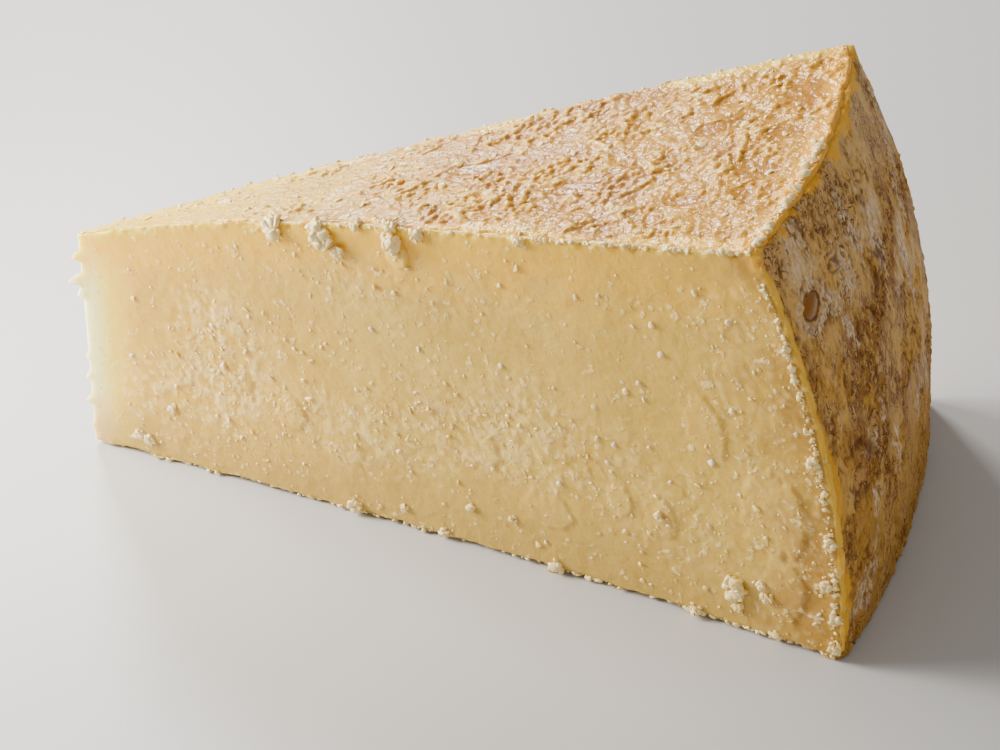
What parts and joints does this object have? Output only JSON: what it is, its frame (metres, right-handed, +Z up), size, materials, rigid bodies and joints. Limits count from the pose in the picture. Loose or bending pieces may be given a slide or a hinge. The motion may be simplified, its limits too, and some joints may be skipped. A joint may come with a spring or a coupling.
{
  "type": "sbrinz cheese wedge",
  "caption": "Hard cheese wedge with a rough tan rind on its top and rim, two crumbly cut faces and a flat cut base to stand on.",
  "frame": {"origin": "middle of the bounding box, on the flat base that the wedge rests on", "axes": "+X from the tip to the rim, along the wedge's middle; +Y towards the back cut; +Z up towards the top rind"},
  "size_m": [0.1562, 0.0772, 0.0764],
  "materials": {
    "paste": "waxy, fine-grained cut cheese, pale straw yellow",
    "rind": "dry, rough natural rind, tan to brown"
  },
  "bodies": {
    "root": {"cheese_wedge": "paste"}
  },
  "joints": []
}
